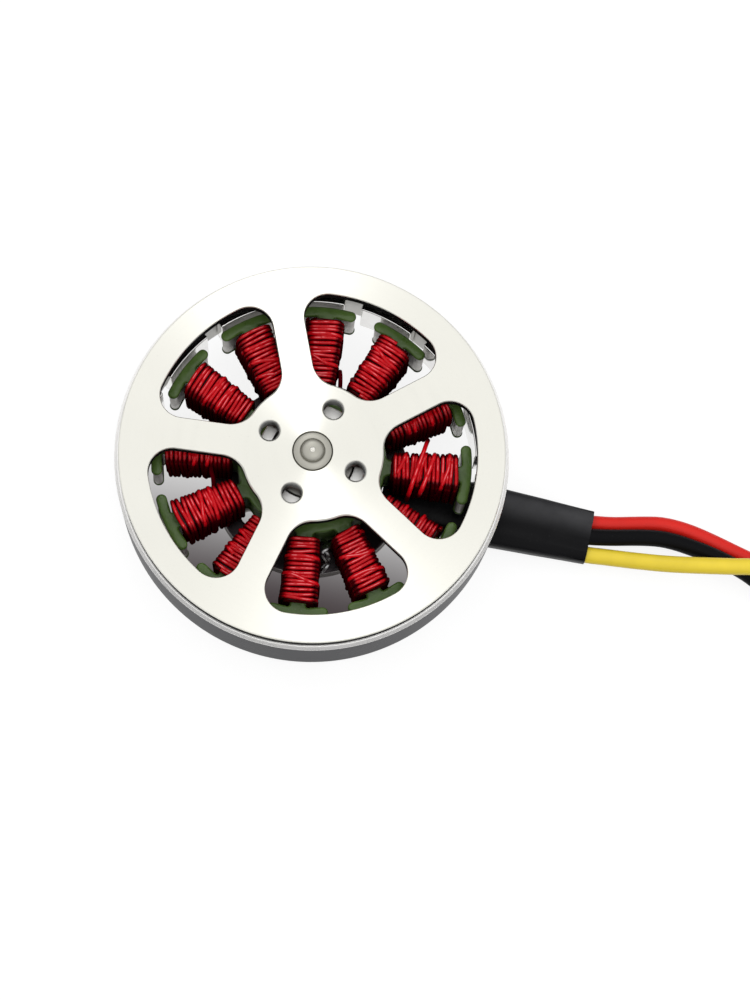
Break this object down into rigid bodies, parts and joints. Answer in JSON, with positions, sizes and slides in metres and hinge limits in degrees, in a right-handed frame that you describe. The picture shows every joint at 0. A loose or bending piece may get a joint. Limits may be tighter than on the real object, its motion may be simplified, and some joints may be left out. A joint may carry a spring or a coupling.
{
  "type": "brushless drone motor",
  "caption": "Flat outrunner motor with a spoked bell over a wound stator, a threaded propeller seat, a bolt-down base and short silicone leads with bullet plugs.",
  "frame": {"origin": "on the spin axis, on the base's mounting face", "axes": "+Z along the shaft towards the propeller, +X the way in which the cable leaves the base"},
  "size_m": [0.1496, 0.05, 0.0183],
  "materials": {
    "turned_aluminium": "turned, bright, with fine concentric lines",
    "plated_steel": "satin nickel plate",
    "nickel_magnet": "nickel plate",
    "green_epoxy": "glossy powder epoxy",
    "red_enamelled_wire": "glossy enamel",
    "ground_steel": "ground",
    "brass_cage": "satin",
    "spring_steel": "blackened",
    "black_shrink": "satin",
    "red_silicone": "satin",
    "black_silicone": "satin",
    "yellow_silicone": "satin",
    "gold_plate": "bright plate"
  },
  "bodies": {
    "stator": {"base_mount": "turned_aluminium", "stator_core": "green_epoxy", "coil_01": "red_enamelled_wire", "coil_02": "red_enamelled_wire", "coil_03": "red_enamelled_wire", "coil_04": "red_enamelled_wire", "coil_05": "red_enamelled_wire", "coil_06": "red_enamelled_wire", "coil_07": "red_enamelled_wire", "coil_08": "red_enamelled_wire", "coil_09": "red_enamelled_wire", "coil_10": "red_enamelled_wire", "coil_11": "red_enamelled_wire", "coil_12": "red_enamelled_wire", "upper_outer_race": "ground_steel", "lower_outer_race": "ground_steel", "lead_sleeve": "black_shrink", "lead_red": "red_silicone", "lead_black": "black_silicone", "lead_yellow": "yellow_silicone", "bullet_red": "gold_plate", "bullet_black": "gold_plate", "bullet_yellow": "gold_plate", "shrink_red": "black_shrink", "shrink_black": "black_shrink", "shrink_yellow": "black_shrink"},
    "bell": {"bell_cap": "turned_aluminium", "flux_ring": "plated_steel", "magnet_01": "nickel_magnet", "magnet_02": "nickel_magnet", "magnet_03": "nickel_magnet", "magnet_04": "nickel_magnet", "magnet_05": "nickel_magnet", "magnet_06": "nickel_magnet", "magnet_07": "nickel_magnet", "magnet_08": "nickel_magnet", "magnet_09": "nickel_magnet", "magnet_10": "nickel_magnet", "magnet_11": "nickel_magnet", "magnet_12": "nickel_magnet", "magnet_13": "nickel_magnet", "magnet_14": "nickel_magnet", "shaft": "ground_steel", "upper_inner_race": "ground_steel", "lower_inner_race": "ground_steel", "thrust_washer": "ground_steel", "retaining_clip": "spring_steel"},
    "upper_balls": {"upper_ball_set": "brass_cage"},
    "lower_balls": {"lower_ball_set": "brass_cage"}
  },
  "joints": [
    {"name": "bell_spin", "type": "hinge", "parent": "stator", "child": "bell", "pos_m": [0, 0, 0], "axis": [0, 0, 1], "continuous": true},
    {"name": "upper_ball_roll", "type": "hinge", "parent": "stator", "child": "upper_balls", "pos_m": [0, 0, 0.0122], "axis": [0, 0, 1], "continuous": true},
    {"name": "lower_ball_roll", "type": "hinge", "parent": "stator", "child": "lower_balls", "pos_m": [0, 0, 0.004], "axis": [0, 0, 1], "continuous": true}
  ],
  "couplings": [
    {"joint": "upper_ball_roll", "follows": "bell_spin", "ratio": 0.425},
    {"joint": "lower_ball_roll", "follows": "bell_spin", "ratio": 0.425}
  ]
}
